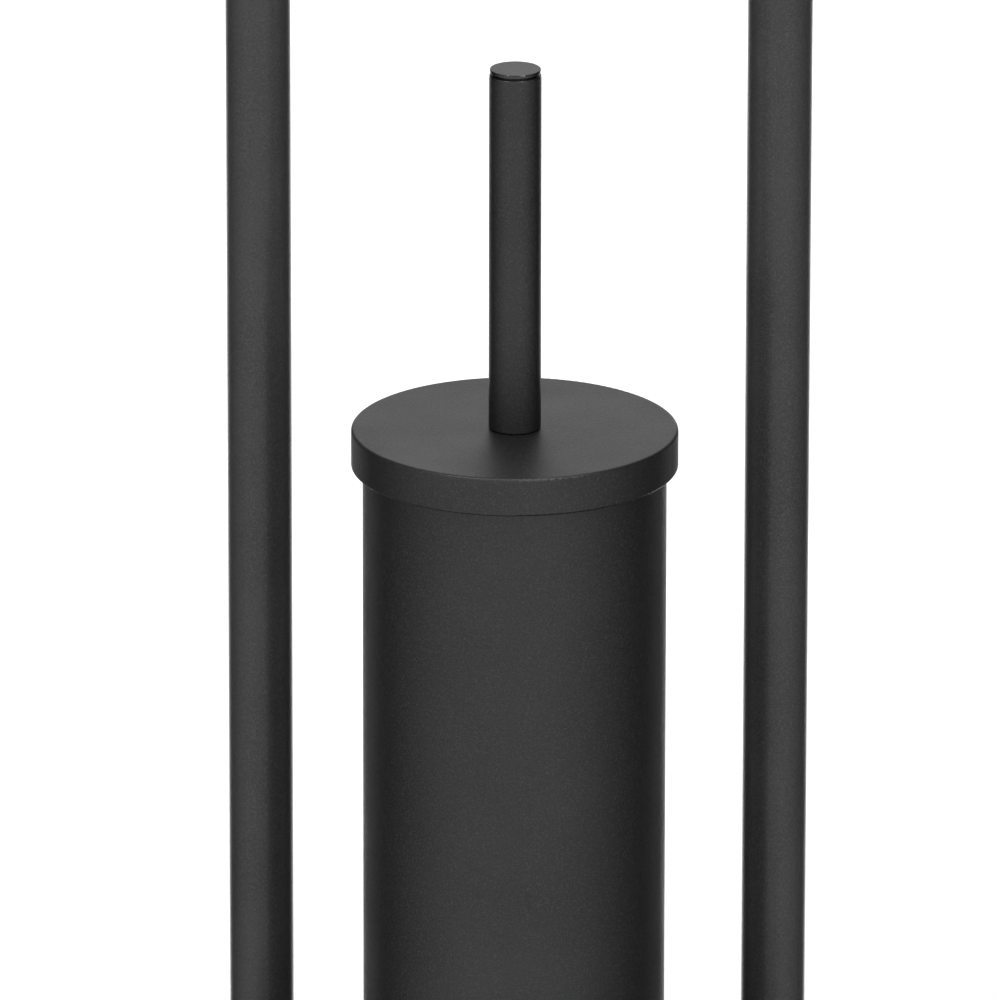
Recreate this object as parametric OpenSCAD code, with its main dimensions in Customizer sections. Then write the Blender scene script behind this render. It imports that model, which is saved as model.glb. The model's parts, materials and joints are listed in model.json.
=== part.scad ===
// Free-standing toilet brush holder: a weighted base plate carries a round canister with a
// lift-out liner and a lidded brush, and a tubular hoop stands behind it as a carrying handle.
// Millimetres, +Z up. The origin is on the floor under the middle of the base plate;
// -Y is the front, where the canister stands.

/* [Base plate] */
// Width of the base plate, left to right
base_w = 210; // [200:5:260]
// Depth of the base plate, front to back
base_d = 170; // [165:5:220]
// Thickness of the base plate
base_t = 6; // [5:0.5:10]
// Radius of the plate's corners in plan
base_corner_r = 20; // [12:1:30]
// Radius rolled on the plate's top edge
base_edge_r = 1.5; // [1:0.5:2]
// Diameter of a rubber foot
foot_d = 16; // [12:1:18]
// Height of a rubber foot
foot_h = 3; // [2:0.5:5]

/* [Hoop] */
// Outside diameter of the hoop's tube
tube_d = 20; // [16:1:22]
// Wall of the hoop's tube
tube_wall = 1.2; // [0.8:0.1:2]
// Distance between the two uprights, centre to centre
hoop_spacing = 160.5; // [150:0.5:180]
// Height of the hoop's top above the floor
hoop_h = 480; // [460:10:800]
// Bend radius of the hoop's corners, on the tube's centreline
hoop_bend_r = 50; // [35:5:60]
// How far the hoop stands behind the canister's axis
hoop_setback = 67; // [65:1:75]

/* [Canister] */
// Outside diameter of the canister
can_d = 93; // [90:1:96]
// Height of the canister
can_h = 252; // [230:1:300]
// Sheet thickness of the canister
can_wall = 0.8; // [0.6:0.1:1]
// Where the canister's axis stands, front to back
can_y = -15; // [-20:1:-12]

/* [Liner] */
// Outside diameter of the liner below its flange
liner_d = 86; // [84:0.5:88]
// How much the liner narrows towards its floor, in diameter
liner_taper = 5; // [2:0.5:6]
// Wall of the liner
liner_wall = 1.5; // [1.2:0.1:2]
// Outside diameter of the flange that hangs on the canister's rim
flange_d = 95.4; // [95:0.1:96]
// Thickness of that flange
flange_t = 1.6; // [1.2:0.1:2]

/* [Lid and handle] */
// Outside diameter of the lid
lid_d = 100; // [100:1:104]
// Height of the lid, skirt included
lid_h = 12; // [8:0.5:14]
// Sheet thickness of the lid
lid_wall = 0.8; // [0.6:0.1:1]
// Outside radius of the lid's pressed edge
lid_edge_r = 1; // [1:0.1:2.5]
// Radius of the bead rolled inwards along the skirt's lower edge
lid_hem_r = 0.6; // [0.5:0.1:1]
// Outside diameter of the handle
handle_d = 16; // [14:1:20]
// Height of the handle above the lid, cap included
handle_h = 114.4; // [100:0.1:130]
// Wall of the handle's tube
handle_wall = 1; // [0.8:0.1:1.2]

/* [Brush] */
// Diameter of the steel stem
stem_d = 8; // [7:0.5:8]
// Diameter over the bristles
bristle_d = 75; // [70:1:76]
// Height of the bristles, top to bottom
bristle_h = 84; // [74:1:90]
// Diameter of the plastic core that holds the tufts
core_d = 28; // [24:1:32]

/* [Hidden] */
$fn = 96;

coat = [0.045, 0.045, 0.047];
rubber = [0.03, 0.03, 0.03];
zinc = [0.62, 0.63, 0.64];
stainless = [0.7, 0.7, 0.71];
liner_grey = [0.1, 0.1, 0.105];
core_black = [0.04, 0.04, 0.042];
bristle_black = [0.02, 0.02, 0.02];

// running gaps
seat_gap = 0.2;        // between the rim, the liner's flange and the lid
plug_gap = 0.05;       // round a plug in its tube
thread_gap = 0.05;     // round a screw or stem in its thread
clear_gap = 0.2;       // round a stem or screw in a plain hole

// levels above the floor
base_top = foot_h + base_t;
pad_t = 1;
can_floor_z = base_top + pad_t;
can_rim_z = can_floor_z + can_h;
flange_z = can_rim_z + seat_gap;
lid_top_z = flange_z + flange_t + seat_gap + lid_wall;
lid_under_z = lid_top_z - lid_wall;
handle_top_z = lid_top_z + handle_h;

// foot positions
foot_x = base_w / 2 - 15;
foot_y = base_d / 2 - 15;

// hoop
tube_r = tube_d / 2;
tube_bore = tube_r - tube_wall;
hoop_x = hoop_spacing / 2;
hoop_y = can_y + hoop_setback;
bar_z = hoop_h - tube_r;
bend_z = bar_z - hoop_bend_r;
seam_z = bend_z - 28;
seam_round_r = 0.4;
coupler_l = 40;

// base screws, M6 button heads let into the plate from below
screw_r = 3;
screw_head_r = 5.25;
screw_head_h = 3.3;
counterbore_r = 6;
counterbore_h = 3.5;
screw_seat_z = foot_h + counterbore_h;
leg_screw_l = 12;
can_screw_l = 12;
insert_l = 14;
socket_af = 4;
socket_h = 1.8;

// canister floor and its weld nut
floor_t = 1;
floor_lip_h = 6;
nut6_af = 10;
nut6_h = 5;
nut6_flange_r = 7;
nut6_flange_h = 1.2;
rim_bead_r = 1;

// liner
liner_z = 20;
liner_foot_h = 1.6;
liner_floor_t = 1.6;

// lid fixings
nut8_af = 13;
nut8_h = 6.5;
washer8_r = 9;
washer8_t = 1.2;

// handle stack, from the lid up: gasket, tube, seam, cap
handle_r = handle_d / 2;
gasket_t = 0.5;
cap_t = 1.2;
seam_gap = 0.4;
handle_edge_r = 0.5;
cap_edge_r = 0.35;
cap_inset = 0.15;
cap_plug_l = 10;
handle_insert_l = 20;

// brush, hung from the handle's insert
stem_r = stem_d / 2;
stem_top_z = lid_top_z + 16;
bristle_z = 28;
bristle_top_z = bristle_z + bristle_h;
bristle_r = bristle_d / 2;
tip_round_r = 22;
shoulder_round_r = 9;
core_r = core_d / 2;
core_z = bristle_z + 16;
core_top_z = bristle_top_z - 8;
core_round_r = 8;
hub_r = 8;
hub_top_z = core_top_z + 18;
stem_bottom_z = core_top_z + 2;
tip_split_z = core_z + core_round_r;

// ---------- profiles and small helpers ----------

// Rectangle from the axis out to r, with its top outer corner rounded by c.
module top_rounded(r, z0, z1, c) {
    translate([0, z0]) square([r, z1 - z0 - c]);
    translate([0, z0]) square([r - c, z1 - z0]);
    translate([r - c, z1 - c]) circle(r = c);
}

// Rectangle from the axis out to r, rounded by a at its bottom corner and b at its top corner.
module both_rounded(r, z0, z1, a, b) {
    translate([0, z0]) square([r - max(a, b), z1 - z0]);
    translate([0, z0 + a]) square([r, z1 - z0 - a - b]);
    translate([0, z0]) square([r - a, a]);
    translate([0, z1 - b]) square([r - b, b]);
    translate([r - a, z0 + a]) circle(r = a);
    translate([r - b, z1 - b]) circle(r = b);
}

// The half of a profile to the right of the axis, turned about it.
module turned() {
    rotate_extrude() intersection() {
        translate([0, -1]) square([200, 1000]);
        children();
    }
}

// A tube standing on z0.
module tube(r, bore, z0, l) {
    translate([0, 0, z0]) difference() {
        cylinder(r = r, h = l);
        translate([0, 0, -1]) cylinder(r = bore, h = l + 2);
    }
}

// Hexagonal prism measured across its flats.
module hexagon(af, h) {
    cylinder(r = af / 2 / cos(30), h = h, $fn = 6);
}

// Rounded rectangle in plan.
module plan(w, d, r) {
    square([w - 2 * r, d], center = true);
    square([w, d - 2 * r], center = true);
    for (x = [-1, 1], y = [-1, 1])
        translate([x * (w / 2 - r), y * (d / 2 - r)]) circle(r = r);
}

// M6 button-head screw, its head's underside at z = 0 and its shank pointing up.
module button_screw(l) {
    difference() {
        union() {
            translate([0, 0, -1.6]) cylinder(r = screw_head_r, h = 1.6);
            translate([0, 0, -screw_head_h])
                cylinder(r1 = screw_head_r - 1.9, r2 = screw_head_r, h = screw_head_h - 1.6);
            cylinder(r = screw_r, h = l);
        }
        translate([0, 0, -screw_head_h - 1]) hexagon(socket_af, socket_h + 1);
    }
}

// ---------- stand ----------

// The three screw positions: two legs and the canister.
screw_spots = [[-hoop_x, hoop_y], [hoop_x, hoop_y], [0, can_y]];

module base_plate() {
    inner_w = base_w - 2 * base_edge_r;
    inner_d = base_d - 2 * base_edge_r;
    rail_z = base_t - base_edge_r;
    color(coat) translate([0, 0, foot_h]) difference() {
        union() {
            linear_extrude(rail_z) plan(base_w, base_d, base_corner_r);
            linear_extrude(base_t) plan(inner_w, inner_d, base_corner_r - base_edge_r);
            for (y = [-1, 1])
                translate([-(base_w / 2 - base_corner_r), y * inner_d / 2, rail_z])
                    rotate([0, 90, 0]) cylinder(r = base_edge_r, h = base_w - 2 * base_corner_r);
            for (x = [-1, 1])
                translate([x * inner_w / 2, -(base_d / 2 - base_corner_r), rail_z])
                    rotate([-90, 0, 0]) cylinder(r = base_edge_r, h = base_d - 2 * base_corner_r);
            for (x = [-1, 1], y = [-1, 1])
                translate([x * (base_w / 2 - base_corner_r), y * (base_d / 2 - base_corner_r), rail_z])
                    rotate_extrude() translate([base_corner_r - base_edge_r, 0]) circle(r = base_edge_r);
        }
        for (p = screw_spots) translate([p[0], p[1], -1]) {
            cylinder(r = counterbore_r, h = counterbore_h + 1);
            cylinder(r = screw_r + clear_gap, h = base_t + 2);
        }
    }
}

module foot(x, y) {
    color(rubber) translate([x * foot_x, y * foot_y, 0])
        turned() both_rounded(foot_d / 2, 0, foot_h, 0.8, 0.2);
}

// Straight length of the hoop's tube standing at z = 0, its top edge softened for a seam.
module seamed_tube(l) {
    rotate_extrude() difference() {
        top_rounded(tube_r, 0, l, seam_round_r);
        translate([0, -1]) square([tube_bore, l + 2]);
    }
}

module upright(x) {
    color(coat) translate([x * hoop_x, hoop_y, base_top]) seamed_tube(seam_z - base_top);
}

module hoop_top() {
    color(coat) translate([0, hoop_y, 0]) {
        for (x = [-1, 1])
            translate([x * hoop_x, 0, bend_z]) mirror([0, 0, 1]) seamed_tube(bend_z - seam_z);
        difference() {
            hoop_run(tube_r);
            hoop_run(tube_bore);
        }
    }
}

// The hoop's two bends and its top bar, as a solid bar of radius r.
module hoop_run(r) {
    bar_x = hoop_x - hoop_bend_r;
    for (side = [0, 1]) mirror([side, 0, 0])
        translate([bar_x, 0, bend_z]) rotate([90, 0, 0])
            rotate_extrude(angle = 90) translate([hoop_bend_r, 0]) circle(r = r);
    translate([-bar_x, 0, bar_z]) rotate([0, 90, 0]) cylinder(r = r, h = 2 * bar_x);
}

// Plug that joins an upright to the hoop's top.
module coupler(x) {
    color(zinc) translate([x * hoop_x, hoop_y, seam_z - coupler_l / 2])
        cylinder(r = tube_bore - plug_gap, h = coupler_l);
}

// Threaded plug fixed in the foot of an upright.
module leg_insert(x) {
    color(zinc) translate([x * hoop_x, hoop_y, 0])
        tube(tube_bore - plug_gap, screw_r + thread_gap, base_top, insert_l);
}

module base_screws() {
    color(zinc) for (i = [0:2])
        translate([screw_spots[i][0], screw_spots[i][1], screw_seat_z])
            button_screw(i < 2 ? leg_screw_l : can_screw_l);
}

// ---------- canister ----------

module canister_pad() {
    color(rubber) translate([0, can_y, 0])
        tube(can_d / 2 - 0.6, screw_r + clear_gap, base_top, pad_t);
}

module canister_shell() {
    r = can_d / 2;
    color(coat) translate([0, can_y, 0]) rotate_extrude() {
        translate([r - can_wall, can_floor_z]) square([can_wall, can_h - rim_bead_r]);
        translate([r, can_rim_z - rim_bead_r]) circle(r = rim_bead_r);
    }
}

module canister_floor() {
    r = can_d / 2 - can_wall - plug_gap;
    color(coat) translate([0, can_y, can_floor_z]) rotate_extrude() {
        translate([screw_r + clear_gap, 0]) square([r - screw_r - clear_gap, floor_t]);
        translate([r - can_wall, 0]) square([can_wall, floor_lip_h]);
    }
}

module canister_nut() {
    color(zinc) translate([0, can_y, can_floor_z + floor_t]) difference() {
        union() {
            cylinder(r = nut6_flange_r, h = nut6_flange_h);
            hexagon(nut6_af, nut6_h);
        }
        translate([0, 0, -1]) cylinder(r = screw_r + thread_gap, h = nut6_h + 2);
    }
}

// ---------- liner ----------

module liner_cup() {
    top_r = liner_d / 2;
    low_r = top_r - liner_taper / 2;
    floor_z = liner_z + liner_foot_h;
    color(liner_grey) translate([0, can_y, 0]) rotate_extrude() {
        polygon([
            [0, floor_z], [low_r - 4, floor_z], [low_r - 4, liner_z], [low_r, liner_z],
            [top_r, flange_z], [flange_d / 2, flange_z], [flange_d / 2, flange_z + flange_t],
            [top_r - liner_wall, flange_z + flange_t],
            [low_r - liner_wall, floor_z + liner_floor_t], [0, floor_z + liner_floor_t]
        ]);
    }
}

// ---------- lid and handle ----------

module lid() {
    r = lid_d / 2;
    skirt_z = lid_top_z - lid_h;
    color(coat) translate([0, can_y, 0]) rotate_extrude() {
        difference() {
            top_rounded(r, skirt_z + lid_hem_r, lid_top_z, lid_edge_r);
            top_rounded(r - lid_wall, skirt_z - 1, lid_under_z, lid_edge_r - lid_wall);
            translate([0, skirt_z]) square([stem_r + clear_gap, lid_h + 1]);
        }
        translate([r - lid_hem_r, skirt_z + lid_hem_r]) circle(r = lid_hem_r);
    }
}

module handle_gasket() {
    color(rubber) translate([0, can_y, 0])
        tube(handle_r - 0.3, stem_r + clear_gap, lid_top_z, gasket_t);
}

module handle_tube() {
    z0 = lid_top_z + gasket_t;
    z1 = handle_top_z - cap_t - seam_gap;
    color(coat) translate([0, can_y, 0]) rotate_extrude() difference() {
        top_rounded(handle_r, z0, z1, handle_edge_r);
        translate([0, z0 - 1]) square([handle_r - handle_wall, handle_h + 2]);
    }
}

module handle_cap() {
    z1 = handle_top_z - cap_t;
    color(coat) translate([0, can_y, 0]) rotate_extrude() {
        both_rounded(handle_r - cap_inset, z1, handle_top_z, cap_edge_r, cap_edge_r);
        translate([0, z1 - cap_plug_l]) square([handle_r - handle_wall - plug_gap, cap_plug_l]);
    }
}

module handle_insert() {
    color(zinc) translate([0, can_y, 0])
        tube(handle_r - handle_wall - plug_gap, stem_r + thread_gap,
             lid_top_z + gasket_t, handle_insert_l);
}

module lid_washer() {
    color(zinc) translate([0, can_y, 0])
        tube(washer8_r, stem_r + clear_gap, lid_under_z - washer8_t, washer8_t);
}

module lid_nut() {
    color(zinc) translate([0, can_y, lid_under_z - washer8_t - nut8_h]) difference() {
        hexagon(nut8_af, nut8_h);
        translate([0, 0, -1]) cylinder(r = stem_r + thread_gap, h = nut8_h + 2);
    }
}

// ---------- brush ----------

module stem() {
    color(stainless) translate([0, can_y, stem_bottom_z])
        cylinder(r = stem_r, h = stem_top_z - stem_bottom_z);
}

// The core's outline, grown by g: a round-ended barrel with a hub for the stem on top.
module core_profile(g) {
    both_rounded(core_r + g, core_z - g, core_top_z + g, core_round_r + g, 3 + g);
    translate([0, core_top_z - 4]) square([hub_r + g, hub_top_z - core_top_z + 4]);
}

module brush_core() {
    color(core_black) translate([0, can_y, 0]) difference() {
        turned() core_profile(0);
        translate([0, 0, stem_bottom_z]) cylinder(r = stem_r + thread_gap, h = 100);
    }
}

// The whole volume that the bristles fill round the core.
module bristle_profile() {
    difference() {
        both_rounded(bristle_r, bristle_z, bristle_top_z, tip_round_r, shoulder_round_r);
        core_profile(0.1);
    }
}

module side_bristles() {
    color(bristle_black) translate([0, can_y, 0]) turned() difference() {
        bristle_profile();
        translate([0, 0]) square([100, tip_split_z]);
    }
}

module tip_bristles() {
    color(bristle_black) translate([0, can_y, 0]) turned() intersection() {
        bristle_profile();
        translate([0, 0]) square([100, tip_split_z]);
    }
}

base_plate();
foot(-1, -1);  // foot_front_left
foot(1, -1);  // foot_front_right
foot(-1, 1);  // foot_rear_left
foot(1, 1);  // foot_rear_right
upright(-1);  // upright_left
upright(1);  // upright_right
hoop_top();
coupler(-1);  // coupler_left
coupler(1);  // coupler_right
leg_insert(-1);  // leg_insert_left
leg_insert(1);  // leg_insert_right
base_screws();
canister_pad();
canister_shell();
canister_floor();
canister_nut();
liner_cup();
lid();
handle_gasket();
handle_tube();
handle_cap();
handle_insert();
lid_washer();
lid_nut();
stem();
brush_core();
side_bristles();
tip_bristles();
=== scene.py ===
"""Looks for the toilet brush holder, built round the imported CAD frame.

Metres, +Z up, front towards -Y, as in the CAD. Positions on the object come from the frame's
own boxes.
"""

import json
import math
import random

import bpy
from mathutils import Matrix, Vector


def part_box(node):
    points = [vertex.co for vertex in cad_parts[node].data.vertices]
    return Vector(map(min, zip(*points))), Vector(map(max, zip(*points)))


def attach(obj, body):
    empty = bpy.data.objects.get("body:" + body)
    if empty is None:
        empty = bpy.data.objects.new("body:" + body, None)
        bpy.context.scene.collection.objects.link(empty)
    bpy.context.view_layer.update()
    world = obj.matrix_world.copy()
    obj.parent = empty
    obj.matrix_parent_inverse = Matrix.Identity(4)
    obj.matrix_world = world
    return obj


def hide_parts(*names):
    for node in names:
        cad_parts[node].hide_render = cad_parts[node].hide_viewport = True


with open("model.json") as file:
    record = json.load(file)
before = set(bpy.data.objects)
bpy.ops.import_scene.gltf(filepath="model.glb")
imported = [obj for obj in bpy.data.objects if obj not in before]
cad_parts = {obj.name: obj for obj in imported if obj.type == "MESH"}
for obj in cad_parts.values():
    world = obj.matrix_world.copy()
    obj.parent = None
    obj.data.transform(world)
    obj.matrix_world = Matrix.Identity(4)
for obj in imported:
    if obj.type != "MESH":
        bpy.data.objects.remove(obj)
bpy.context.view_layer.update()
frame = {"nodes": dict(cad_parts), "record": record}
NODES = frame["nodes"]
MM = 0.001

lid_low, lid_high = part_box("lid")
AXIS_X = (lid_low.x + lid_high.x) / 2
AXIS_Y = (lid_low.y + lid_high.y) / 2
LID_TOP = Vector((AXIS_X, AXIS_Y, lid_high.z))
HANDLE_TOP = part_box("handle_cap")[1].z


# ---------- shader nodes ----------


class NodeTree:
    """A node tree, with one short method for each kind of node."""

    def __init__(self, owner, output_kind):
        owner.use_nodes = True
        self.tree = owner.node_tree
        self.tree.nodes.clear()
        self.output = self.node(output_kind)

    def node(self, kind, inputs=None, **settings):
        made = self.tree.nodes.new(kind)
        for key, value in settings.items():
            setattr(made, key, value)
        for key, value in (inputs or {}).items():
            self.feed(made.inputs[key], value)
        return made

    def feed(self, socket, value):
        if isinstance(value, bpy.types.NodeSocket):
            self.tree.links.new(value, socket)
        else:
            socket.default_value = value

    def spread(self, value, low, high, to_low=0.0, to_high=1.0):
        """value from low..high to to_low..to_high, held at the ends."""
        inputs = {
            "Value": value,
            "From Min": low,
            "From Max": high,
            "To Min": to_low,
            "To Max": to_high,
        }
        return self.node("ShaderNodeMapRange", inputs, clamp=True).outputs["Result"]

    def math(self, operation, a, b=0.0):
        made = self.node("ShaderNodeMath", operation=operation)
        self.feed(made.inputs[0], a)
        self.feed(made.inputs[1], b)
        return made.outputs[0]

    def mix(self, amount, a, b):
        """Colour a where amount is 0, colour b where it is 1."""
        made = self.node("ShaderNodeMix", data_type="RGBA")
        self.feed(made.inputs[0], amount)
        self.feed(made.inputs[6], a)
        self.feed(made.inputs[7], b)
        return made.outputs[2]


class Shader(NodeTree):
    """A material's node tree."""

    def __init__(self, name):
        self.material = bpy.data.materials.new(name)
        super().__init__(self.material, "ShaderNodeOutputMaterial")
        self.place = self.node("ShaderNodeTexCoord").outputs["Object"]

    def stretched(self, x, y, z):
        """Object coordinates, scaled along each axis."""
        inputs = {"Vector": self.place, "Scale": (x, y, z)}
        return self.node("ShaderNodeMapping", inputs).outputs["Vector"]

    def noise(self, size, detail=2.0, roughness=0.5, at=None):
        """Noise whose cells are about `size` metres across, from 0 to 1."""
        inputs = {
            "Vector": at or self.place,
            "Scale": 1 / size,
            "Detail": detail,
            "Roughness": roughness,
        }
        return self.node("ShaderNodeTexNoise", inputs).outputs["Fac"]

    def bump(self, height, depth, normal=None):
        """Bump of the given depth in metres where height is 1."""
        inputs = {"Height": height, "Distance": depth, "Strength": 1.0}
        if normal:
            inputs["Normal"] = normal
        return self.node("ShaderNodeBump", inputs).outputs["Normal"]

    def finish(self, **inputs):
        """Ends the tree in a Principled shader. Underscores in the names of its inputs stand for
        the spaces in the socket names."""
        named = {key.replace("_", " "): value for key, value in inputs.items()}
        surface = self.node("ShaderNodeBsdfPrincipled", named)
        self.tree.links.new(surface.outputs["BSDF"], self.output.inputs["Surface"])
        return self.material


def grey(value):
    return (value, value, value, 1.0)


def near_black(value):
    """A black of the given brightness with a trace of blue."""
    return (value, value, value * 1.05, 1.0)


# ---------- materials ----------

# the powder coat's features, by the size of their cells and the depth of their relief
MOTTLE_SIZE = 25 * MM
PEEL_SIZE = 1.4 * MM
PEEL_DEPTH = 0.04 * MM
GRAIN_SIZE = 0.8 * MM
GRAIN_DEPTH = 0.05 * MM
SPECK_SIZE = 0.5 * MM
SPECK_RISE = 0.014  # how much paler than the coat a speck is
RUBBED = 0.2  # how much of the coat's roughness is left where hands have rubbed it


def powder_coat(name, blacks, rough, gloss=0.5, rubbed=None):
    """Matte black powder coat: orange-peel ripples, a fine dry grain and sparse paler specks. Its
    black and its roughness each run between two values, and gloss is the strength of its sheen.
    Hands have rubbed it smoother between the two heights in rubbed."""
    s = Shader(name)
    mottle = s.noise(MOTTLE_SIZE, 3.0)
    peel = s.noise(PEEL_SIZE, 2.0)
    grain = s.noise(GRAIN_SIZE, 3.0, 0.6)
    tone = s.math("ADD", s.math("MULTIPLY", mottle, 0.4), s.math("MULTIPLY", grain, 0.6))
    tone = s.spread(tone, 0.33, 0.67)
    ground = s.mix(tone, near_black(blacks[0]), near_black(blacks[1]))
    specks = s.spread(s.noise(SPECK_SIZE, 1.0), 0.5, 0.75)
    colour = s.mix(specks, ground, near_black(blacks[1] + SPECK_RISE))
    dullness = s.spread(tone, 0.0, 1.0, rough[1], rough[0])
    if rubbed:
        low, high = rubbed
        height = s.node("ShaderNodeSeparateXYZ", {"Vector": s.place}).outputs["Z"]
        below = s.spread(height, low - 0.2 * MM, low, 1.0, RUBBED)
        above = s.spread(height, high, high + 0.05 * MM, RUBBED, 1.0)
        dullness = s.math("MULTIPLY", dullness, s.math("MAXIMUM", below, above))
    normal = s.bump(grain, GRAIN_DEPTH, s.bump(peel, PEEL_DEPTH))
    return s.finish(
        Base_Color=colour,
        Roughness=dullness,
        Specular_IOR_Level=gloss,
        IOR=1.5,
        Normal=normal,
    )


def black_rubber(name, blacks, gloss):
    """Moulded rubber with a dusty bloom. Its black runs between two values."""
    s = Shader(name)
    bloom = s.noise(5 * MM, 4.0, 0.6)
    pores = s.noise(0.5 * MM, 2.0)
    colour = s.mix(s.spread(bloom, 0.35, 0.7), grey(blacks[0]), grey(blacks[1]))
    rough = s.spread(pores, 0.3, 0.7, 0.68, 0.86)
    return s.finish(
        Base_Color=colour,
        Roughness=rough,
        Specular_IOR_Level=gloss,
        Normal=s.bump(pores, 0.04 * MM),
    )


def zinc_plate():
    """Bright zinc plating over turned steel: cloudy, faintly blue and finely scored."""
    s = Shader("zinc_plate")
    cloud = s.noise(3 * MM, 4.0, 0.6)
    scores = s.noise(4 * MM, 2.0, 0.5, s.stretched(1, 1, 22))
    colour = s.mix(s.spread(cloud, 0.3, 0.7), (0.46, 0.48, 0.51, 1), (0.64, 0.65, 0.66, 1))
    dullness = s.spread(cloud, 0.3, 0.7, 0.26, 0.36)
    rough = s.math("ADD", dullness, s.spread(scores, 0.3, 0.7, -0.04, 0.08))
    normal = s.bump(scores, 0.01 * MM)
    return s.finish(Base_Color=colour, Metallic=1.0, Roughness=rough, Normal=normal)


def ground_steel():
    """Stainless bar, ground round: fine rings with a few longer drawn scratches."""
    s = Shader("ground_steel")
    rings = s.noise(6 * MM, 3.0, 0.6, s.stretched(1, 1, 45))
    drawn = s.noise(1.5 * MM, 2.0, 0.5, s.stretched(1, 1, 0.03))
    tone = s.math("ADD", s.math("MULTIPLY", rings, 0.7), s.math("MULTIPLY", drawn, 0.3))
    colour = s.mix(s.spread(tone, 0.35, 0.65), (0.50, 0.50, 0.51, 1), (0.66, 0.66, 0.66, 1))
    rough = s.spread(tone, 0.35, 0.65, 0.2, 0.34)
    normal = s.bump(rings, 0.008 * MM)
    return s.finish(Base_Color=colour, Metallic=1.0, Roughness=rough, Normal=normal)


def liner_plastic():
    """Dark grey moulded polypropylene, scuffed up and down where the brush passes."""
    s = Shader("moulded_liner")
    cloud = s.noise(40 * MM, 3.0)
    skin = s.noise(0.9 * MM, 2.0)
    scuffs = s.noise(1.6 * MM, 3.0, 0.6, s.stretched(1, 1, 0.06))
    scuffed = s.spread(scuffs, 0.58, 0.74)
    base = s.mix(cloud, (0.030, 0.030, 0.032, 1), (0.044, 0.044, 0.046, 1))
    colour = s.mix(s.math("MULTIPLY", scuffed, 0.5), base, (0.085, 0.085, 0.088, 1))
    rough = s.math("ADD", s.spread(skin, 0.3, 0.7, 0.38, 0.48), s.math("MULTIPLY", scuffed, 0.12))
    return s.finish(Base_Color=colour, Roughness=rough, Normal=s.bump(skin, 0.03 * MM))


def core_plastic():
    """Black moulded plastic of the bristle core."""
    s = Shader("moulded_core")
    skin = s.noise(1.1 * MM, 3.0)
    cloud = s.noise(12 * MM, 3.0)
    colour = s.mix(cloud, (0.008, 0.008, 0.009, 1), (0.018, 0.018, 0.019, 1))
    rough = s.spread(skin, 0.3, 0.7, 0.42, 0.58)
    return s.finish(Base_Color=colour, Roughness=rough, Normal=s.bump(skin, 0.04 * MM))


def bristle_nylon():
    """Extruded black nylon: glossy along each filament, tone varying from tuft to tuft."""
    s = Shader("drawn_nylon")
    tufts = s.noise(5 * MM, 2.0)
    strands = s.noise(0.9 * MM, 2.0)
    tone = s.math("ADD", s.math("MULTIPLY", tufts, 0.5), s.math("MULTIPLY", strands, 0.5))
    colour = s.mix(s.spread(tone, 0.35, 0.65), (0.015, 0.015, 0.016, 1), (0.048, 0.048, 0.051, 1))
    rough = s.spread(strands, 0.3, 0.7, 0.32, 0.46)
    return s.finish(Base_Color=colour, Roughness=rough, Normal=s.bump(strands, 0.02 * MM))


CANISTER_BLACKS = (0.0004, 0.0068)
# painted light: the tubes have the same black coat as the canister, but these blacks are paler, so
# that the tubes' halves facing the canister don't render nearly black
TUBE_BLACKS_PAINTED_LIGHT = (0.023, 0.040)
# round the handle's seam, from just under the tube's top edge to just under the cap's flat top
RUBBED_BAND = (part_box("handle_tube")[1].z - 0.6 * MM, HANDLE_TOP - 0.07 * MM)
COAT = powder_coat("canister_coat", CANISTER_BLACKS, (0.41, 0.51))
# the tubes' coat: painted light in its paler blacks, with a weaker sheen
TUBE_COAT_PAINTED_LIGHT = powder_coat("tube_coat_painted_light", TUBE_BLACKS_PAINTED_LIGHT, (0.29, 0.39), 0.32)
HANDLE_COAT = powder_coat("handle_coat", CANISTER_BLACKS, (0.40, 0.50), 0.5, RUBBED_BAND)
CAP_COAT = powder_coat("cap_coat", CANISTER_BLACKS, (0.36, 0.46), 0.6, RUBBED_BAND)

FINISHES = {
    "powder_coat": COAT,
    "black_rubber": black_rubber("moulded_rubber", (0.011, 0.031), 0.5),
    "zinc_steel": zinc_plate(),
    "stainless_steel": ground_steel(),
    "liner_plastic": liner_plastic(),
    "core_plastic": core_plastic(),
    "bristle_nylon": bristle_nylon(),
}
OWN_FINISHES = {
    "upright_left": TUBE_COAT_PAINTED_LIGHT,
    "upright_right": TUBE_COAT_PAINTED_LIGHT,
    "hoop_top": TUBE_COAT_PAINTED_LIGHT,
    "handle_tube": HANDLE_COAT,
    "handle_cap": CAP_COAT,
    "handle_gasket": black_rubber("soft_rubber", (0.001, 0.004), 0.1),
}


def dress_nodes():
    """Every CAD node takes its slot's finish, or a finish of its own."""
    for part in frame["record"]["subparts"]:
        slots = NODES[part["node"]].data.materials
        slots.clear()
        slots.append(OWN_FINISHES.get(part["node"], FINISHES[part["material_slot"]]))


# ---------- bristles ----------

FILAMENT_R = 0.27 * MM
FILAMENT_SIDES = 3
TIP_TAPER = 0.75
STRANDS = 52  # filaments in a tuft
TUFT_R = 1.7 * MM
TUFT_PITCH = 5.4 * MM
ROOT_DEPTH = 0.3 * MM
WAVE = 0.35 * MM  # how far a filament bows
STRAY = 0.4 * MM  # how far its tip strays from its place in the tuft
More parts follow.
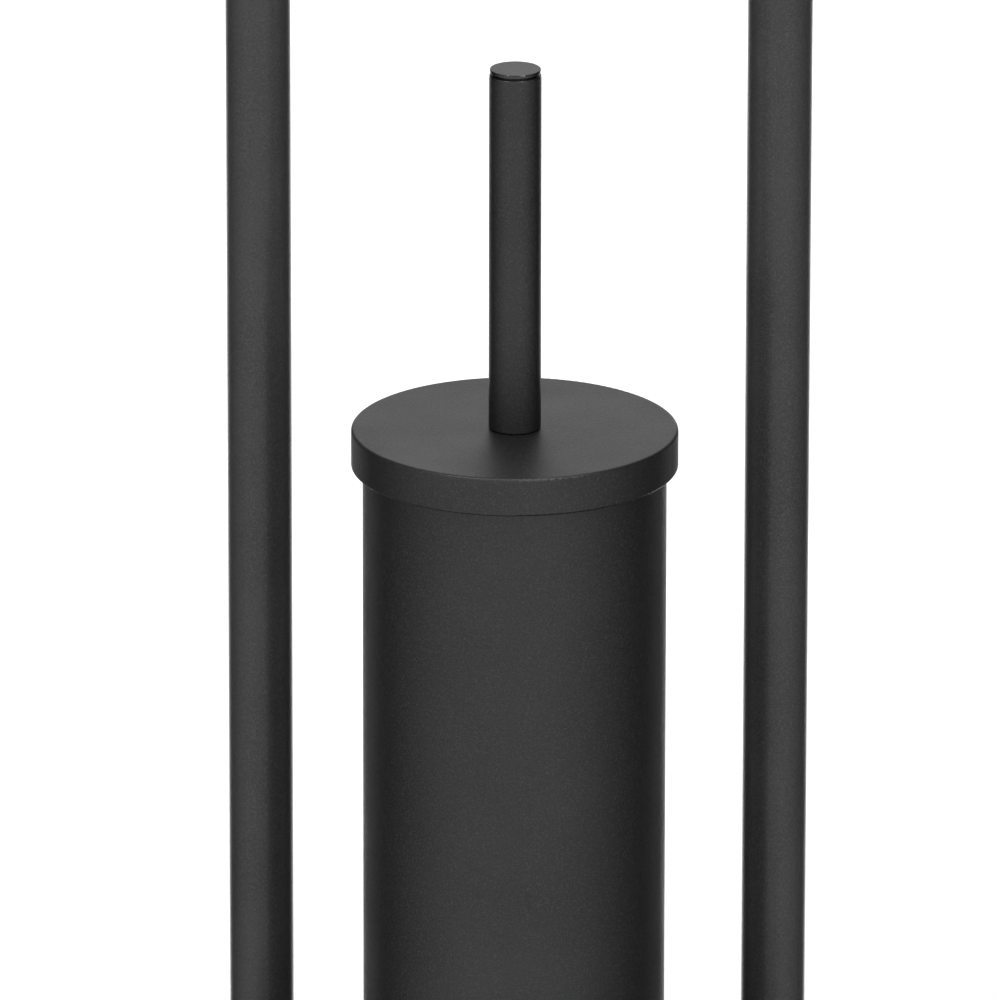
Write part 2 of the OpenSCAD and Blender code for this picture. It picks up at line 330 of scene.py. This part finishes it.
# how far a tuft spreads at its tips, round the axis and along the profile
SIDE_SPLAY = (8.2 * MM, 3.4 * MM)
TOP_SPLAY = (8.2 * MM, 2.6 * MM)
CENTRE_SPLAY = (4 * MM, 4 * MM)
TIP_SPLAY = 5 * MM  # along the profile only
RING_OVERLAP = 1.1  # round the axis, the tip tufts fill their ring this many times
FIRST_ROW_RISE = 2.2 * MM  # the lowest side row's height over the plane between the two pieces
TOP_ROW_LEAN = 50  # degrees
INNER_RING_TUFTS = 6
INNER_RING_TIP_R = 10 * MM
TIP_RINGS = ((20, 9), (42, 13), (64, 16), (85, 17))  # lean in degrees, number of tufts
TRIM_STEP = 0.5 * MM  # how finely the outline is searched for along a filament
TRIM_SCATTER = 0.9 * MM  # each filament is cut shorter by up to this much
ZONE_MARGIN = 0.2 * MM  # how far inside its zone a filament is aimed

# the brush head's profile, from the boxes of its CAD solids and their corner radii
side_low, side_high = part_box("side_bristles")
tip_low, tip_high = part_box("tip_bristles")
core_low, core_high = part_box("brush_core")
HEAD_R = (side_high.x - side_low.x) / 2
HEAD_LOW = tip_low.z
HEAD_TOP = side_high.z
SPLIT_Z = side_low.z
TIP_ROUND = 22 * MM
SHOULDER = 9 * MM
BARREL_R = (core_high.x - core_low.x) / 2
BARREL_LOW = core_low.z
BARREL_TOP = HEAD_TOP - 8 * MM
BARREL_ROUND = 8 * MM
BARREL_EDGE = 3 * MM
OVERLAP = 1.2 * MM  # how far side and tip filaments reach past the plane between them


def in_outline(r, z):
    """Whether the point at radius r and height z is inside the head's trimmed outline."""
    if r > HEAD_R or z < HEAD_LOW or z > HEAD_TOP:
        return False
    for corner_z, rounding, beyond in (
        (HEAD_LOW + TIP_ROUND, TIP_ROUND, -1),
        (HEAD_TOP - SHOULDER, SHOULDER, 1),
    ):
        across = r - (HEAD_R - rounding)
        along = (z - corner_z) * beyond
        if across > 0 and along > 0 and math.hypot(across, along) > rounding:
            return False
    return True


def trimmed(root, way, z_low, z_high):
    """How far a filament runs from its root before it leaves the outline or its own zone."""
    reach = 0.0
    while True:
        tip = root + way * (reach + TRIM_STEP)
        if not (z_low <= tip.z <= z_high and in_outline(math.hypot(tip.x, tip.y), tip.z)):
            return reach
        reach += TRIM_STEP


def add_filament(points, faces, root, tip, rng):
    """A tapered strand with a slight bow, closed at both ends."""
    way = (tip - root).normalized()
    side = way.orthogonal().normalized()
    other = way.cross(side)
    bow = side * rng.uniform(-WAVE, WAVE) + other * rng.uniform(-WAVE, WAVE)
    twist = rng.uniform(0, math.tau)
    first = len(points)
    for centre, scale in ((root, 1.0), ((root + tip) / 2 + bow, 0.95), (tip, TIP_TAPER)):
        for i in range(FILAMENT_SIDES):
            angle = twist + math.tau * i / FILAMENT_SIDES
            rim = side * math.cos(angle) + other * math.sin(angle)
            points.append(centre + rim * FILAMENT_R * scale)
    for ring in (0, 1):
        start = first + ring * FILAMENT_SIDES
        for i in range(FILAMENT_SIDES):
            j = (i + 1) % FILAMENT_SIDES
            low_edge = (start + i, start + j)
            high_edge = (start + FILAMENT_SIDES + j, start + FILAMENT_SIDES + i)
            faces.append(low_edge + high_edge)
    faces.append(tuple(first + i for i in reversed(range(FILAMENT_SIDES))))
    faces.append(tuple(first + 2 * FILAMENT_SIDES + i for i in range(FILAMENT_SIDES)))


def add_tuft(points, faces, turn, root, tip, splay, zone, rng):
    """A tuft standing at the angle turn round the axis. root and tip are (radius, height), and
    splay is how far its filaments spread at their tips, round the axis and along the profile."""
    outward = Vector((math.cos(turn), math.sin(turn), 0))
    around = Vector((-outward.y, outward.x, 0))
    base = outward * root[0] + Vector((0, 0, root[1]))
    end = outward * tip[0] + Vector((0, 0, tip[1]))
    along = around.cross((end - base).normalized())
    for _ in range(STRANDS):
        angle = rng.uniform(0, math.tau)
        out = math.sqrt(rng.random())
        u = out * math.cos(angle)
        v = out * math.sin(angle)
        start = base + around * u * TUFT_R + along * v * TUFT_R
        goal = end + around * (u * splay[0] + rng.gauss(0, STRAY))
        goal += along * (v * splay[1] + rng.gauss(0, STRAY))
        goal.z = min(max(goal.z, zone[0] + ZONE_MARGIN), zone[1] - ZONE_MARGIN)
        way = (goal - start).normalized()
        reach = trimmed(start, way, *zone) - rng.uniform(0, TRIM_SCATTER)
        add_filament(points, faces, start - way * ROOT_DEPTH, start + way * reach, rng)


def brush_piece(name, node, points, faces):
    """A piece of the brush made of tufts, standing for one CAD node."""
    mesh = bpy.data.meshes.new(name)
    mesh.from_pydata([p + Vector((AXIS_X, AXIS_Y, 0)) for p in points], [], faces)
    mesh.materials.append(FINISHES["bristle_nylon"])
    piece = bpy.data.objects.new(name, mesh)
    bpy.context.scene.collection.objects.link(piece)
    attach(piece, "brush")
    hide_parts(node)


def side_tufts():
    """Staggered rows of tufts up the core's barrel, then one row leaning up from its top edge."""
    rng = random.Random(41)
    points, faces = [], []
    zone = (SPLIT_Z - OVERLAP, HEAD_TOP)
    first = SPLIT_Z + FIRST_ROW_RISE
    last = BARREL_TOP - BARREL_EDGE
    rows = round((last - first) / TUFT_PITCH) + 1
    in_row = round(math.tau * BARREL_R / TUFT_PITCH)
    for row in range(rows):
        z = first + (last - first) * row / (rows - 1)
        for i in range(in_row):
            turn = math.tau * (i + 0.5 * (row % 2)) / in_row
            add_tuft(points, faces, turn, (BARREL_R, z), (HEAD_R, z), SIDE_SPLAY, zone, rng)
    lean = math.radians(TOP_ROW_LEAN)
    root = (
        BARREL_R - BARREL_EDGE * (1 - math.cos(lean)),
        last + BARREL_EDGE * math.sin(lean),
    )
    tip = (HEAD_R - 2 * MM, HEAD_TOP - 2.5 * MM)
    for i in range(in_row):
        turn = math.tau * (i + 0.5 * (rows % 2)) / in_row
        add_tuft(points, faces, turn, root, tip, TOP_SPLAY, zone, rng)
    brush_piece("side_tufts", "side_bristles", points, faces)


def tip_tufts():
    """Tufts fanning out from the core's rounded lower end."""
    rng = random.Random(42)
    points, faces = [], []
    zone = (HEAD_LOW, SPLIT_Z + OVERLAP)
    flat_r = BARREL_R - BARREL_ROUND
    add_tuft(points, faces, 0.0, (0.0, BARREL_LOW), (0.0, HEAD_LOW), CENTRE_SPLAY, zone, rng)
    rings = [(INNER_RING_TUFTS, (flat_r - 1 * MM, BARREL_LOW), (INNER_RING_TIP_R, HEAD_LOW))]
    for lean_degrees, count in TIP_RINGS:
        lean = math.radians(lean_degrees)
        root = (
            flat_r + BARREL_ROUND * math.sin(lean),
            BARREL_LOW + BARREL_ROUND * (1 - math.cos(lean)),
        )
        tip = (
            HEAD_R - TIP_ROUND * (1 - math.sin(lean)),
            HEAD_LOW + TIP_ROUND * (1 - math.cos(lean)),
        )
        rings.append((count, root, tip))
    for ring, (count, root, tip) in enumerate(rings):
        around = math.pi * tip[0] / count * RING_OVERLAP
        for i in range(count):
            turn = math.tau * (i + 0.5 * (ring % 2)) / count
            add_tuft(points, faces, turn, root, tip, (around, TIP_SPLAY), zone, rng)
    brush_piece("tip_tufts", "tip_bristles", points, faces)


dress_nodes()
side_tufts()
tip_tufts()

# ---------- studio ----------

# the camera's angles in degrees, its lens in millimetres and the rest in metres
CAMERA_AZIMUTH = 1.0
CAMERA_DOWN = 18.6
CAMERA_ROLL = 0.08
CAMERA_DISTANCE = 4.4
CAMERA_LENS = 519.0
AIM_BELOW_LID = 0.0222
AIM_LEFT_OF_LID = 0.0045

FLOOR_SIZE = 12.0
FLOOR_GLOW = 0.7
FLOOR_GLOW_START = 0.9  # metres from the object
FLOOR_GLOW_FULL = 2.6

# the studio seen by the coat's sheen, by compass heading: 0 is the object's front, and headings
# grow towards its right
FRONT_HEADING = math.radians(-3)
FRONT_FULL = math.radians(38)
FRONT_GONE = math.radians(104)
FRONT_LEVEL = 1.16
GAP_LEVEL = 0.92  # the dim strip between the two front panels
GAP_EDGE = math.radians(34)
BACK_HEADING = math.radians(-179)
BACK_FULL = math.radians(18)
BACK_GONE = math.radians(40)
BACK_LEVEL = 0.84
BACK_LOW_LEVEL = 2.6  # below the horizon, where the pale floor curves up
SIDE_LEVEL = 0.045

# two small lamps high in front, which only edges catch
LAMP_HEADINGS = (-50, 50)  # degrees
LAMP_ELEVATION = 64  # degrees above the horizon
LAMP_DISTANCE = 2.0
LAMP_SIZE = 0.2
LAMP_RADIANCE = 100.0


def make_camera():
    data = bpy.data.cameras.new("camera")
    data.lens = CAMERA_LENS
    data.clip_end = 50.0
    camera = bpy.data.objects.new("camera", data)
    bpy.context.scene.collection.objects.link(camera)
    turn = Matrix.Rotation(math.radians(CAMERA_AZIMUTH), 3, "Z")
    tilt = Matrix.Rotation(math.radians(90 - CAMERA_DOWN), 3, "X")
    roll = Matrix.Rotation(math.radians(CAMERA_ROLL), 3, "Z")
    facing = turn @ tilt @ roll
    right, up, back = facing.col[0], facing.col[1], facing.col[2]
    aim = LID_TOP - right * AIM_LEFT_OF_LID - up * AIM_BELOW_LID
    camera.matrix_world = Matrix.Translation(aim + back * CAMERA_DISTANCE) @ facing.to_4x4()
    bpy.context.scene.camera = camera


def softbox(name, place, target, width, height, radiance):
    """A rectangular light, equally bright from everywhere in front of it."""
    data = bpy.data.lights.new(name, "AREA")
    data.shape = "RECTANGLE"
    data.size = width
    data.size_y = height
    data.energy = radiance * math.pi * width * height
    light = bpy.data.objects.new(name, data)
    bpy.context.scene.collection.objects.link(light)
    light.location = place
    aim = Vector(target) - Vector(place)
    light.rotation_euler = aim.to_track_quat("-Z", "Y").to_euler()
    light.visible_camera = False
    return light


def make_lights():
    """Overhead and backdrop lights, which no sheen shows, and two lamps, which only sheen shows."""
    top = softbox(
        "top", place=(0, -0.3, 1.8), target=(0, 0, 0.2), width=1.2, height=1.2, radiance=3.6
    )
    top.visible_glossy = False
    backdrop = softbox(
        "backdrop", place=(0, 1.1, 1.2), target=(0, 1, 0), width=1.6, height=1.0, radiance=3.4
    )
    backdrop.visible_glossy = False
    for side, heading in zip(("left", "right"), LAMP_HEADINGS):
        level = math.cos(math.radians(LAMP_ELEVATION))
        way = Vector((
            math.sin(math.radians(heading)) * level,
            -math.cos(math.radians(heading)) * level,
            math.sin(math.radians(LAMP_ELEVATION)),
        ))
        place = LID_TOP + way * LAMP_DISTANCE
        lamp = softbox(f"lamp_{side}", place, LID_TOP, LAMP_SIZE, LAMP_SIZE, LAMP_RADIANCE)
        lamp.visible_diffuse = False


class World(NodeTree):
    """The studio's node tree, with the heading and the height of each direction in it."""

    def __init__(self, name):
        self.world = bpy.data.worlds.new(name)
        super().__init__(self.world, "ShaderNodeOutputWorld")
        direction = self.node("ShaderNodeTexCoord").outputs["Generated"]
        apart = self.node("ShaderNodeSeparateXYZ", {"Vector": direction})
        forward = self.math("MULTIPLY", apart.outputs["Y"], -1.0)
        self.heading = self.math("ARCTAN2", apart.outputs["X"], forward)
        self.height = apart.outputs["Z"]

    def away_from(self, centre):
        """The angle between the heading and the centre heading, from 0 to pi."""
        cosine = self.math("COSINE", self.math("SUBTRACT", self.heading, centre))
        return self.math("ARCCOSINE", cosine)

    def front_light(self):
        """Two broad panels with a dim strip between them. They brighten a little above the
        horizon, fade towards the ceiling and end near the floor."""
        away = self.away_from(FRONT_HEADING)
        light = self.spread(away, FRONT_FULL, FRONT_GONE, FRONT_LEVEL, 0.0)
        for factor in (
            self.spread(away, 0.0, GAP_EDGE, GAP_LEVEL, 1.0),
            self.spread(self.height, -0.1, 0.3, 1.0, 1.15),
            self.spread(self.height, 0.4, 0.9, 1.0, 0.4),
            self.spread(self.height, -0.85, -0.6, 0.1, 1.0),
        ):
            light = self.math("MULTIPLY", light, factor)
        return light

    def back_light(self):
        """A narrower panel, brighter below the horizon."""
        away = self.away_from(BACK_HEADING)
        level = self.spread(self.height, -0.25, 0.2, BACK_LOW_LEVEL, BACK_LEVEL)
        return self.math("MULTIPLY", self.spread(away, BACK_FULL, BACK_GONE, 1.0, 0.0), level)


def make_world():
    """White where the camera looks past the floor. For light and sheen, a bright front and a
    bright back with dim sides between them."""
    w = World("studio")
    level = w.math("ADD", w.math("ADD", w.front_light(), w.back_light()), SIDE_LEVEL)
    lit = w.node("ShaderNodeBackground", {"Color": grey(1.0), "Strength": level})
    seen = w.node("ShaderNodeBackground", {"Color": grey(1.0), "Strength": 1.0})
    ray = w.node("ShaderNodeLightPath")
    inputs = {0: ray.outputs["Is Camera Ray"], 1: lit.outputs[0], 2: seen.outputs[0]}
    chosen = w.node("ShaderNodeMixShader", inputs)
    w.tree.links.new(chosen.outputs[0], w.output.inputs["Surface"])
    w.world.cycles.sampling_method = "NONE"
    bpy.context.scene.world = w.world


def make_floor():
    """Plain pale floor, which glows far from the object so that its edge fades into the white
    studio. Sheen doesn't show it, so that only the studio shows there."""
    s = Shader("floor")
    distance = s.node("ShaderNodeVectorMath", {0: s.place}, operation="LENGTH").outputs["Value"]
    glow = s.spread(distance, FLOOR_GLOW_START, FLOOR_GLOW_FULL, 0.0, FLOOR_GLOW)
    mesh = bpy.data.meshes.new("floor")
    half = FLOOR_SIZE / 2
    corners = [(-half, -half, 0), (half, -half, 0), (half, half, 0), (-half, half, 0)]
    mesh.from_pydata(corners, [], [(0, 1, 2, 3)])
    mesh.materials.append(s.finish(
        Base_Color=grey(0.85),
        Roughness=1.0,
        Emission_Color=grey(1.0),
        Emission_Strength=glow,
    ))
    floor = bpy.data.objects.new("floor", mesh)
    bpy.context.scene.collection.objects.link(floor)
    floor.visible_glossy = False


make_camera()
make_lights()
make_world()
make_floor()
bpy.context.scene.view_settings.view_transform = "Standard"
bpy.context.scene.view_settings.look = "None"
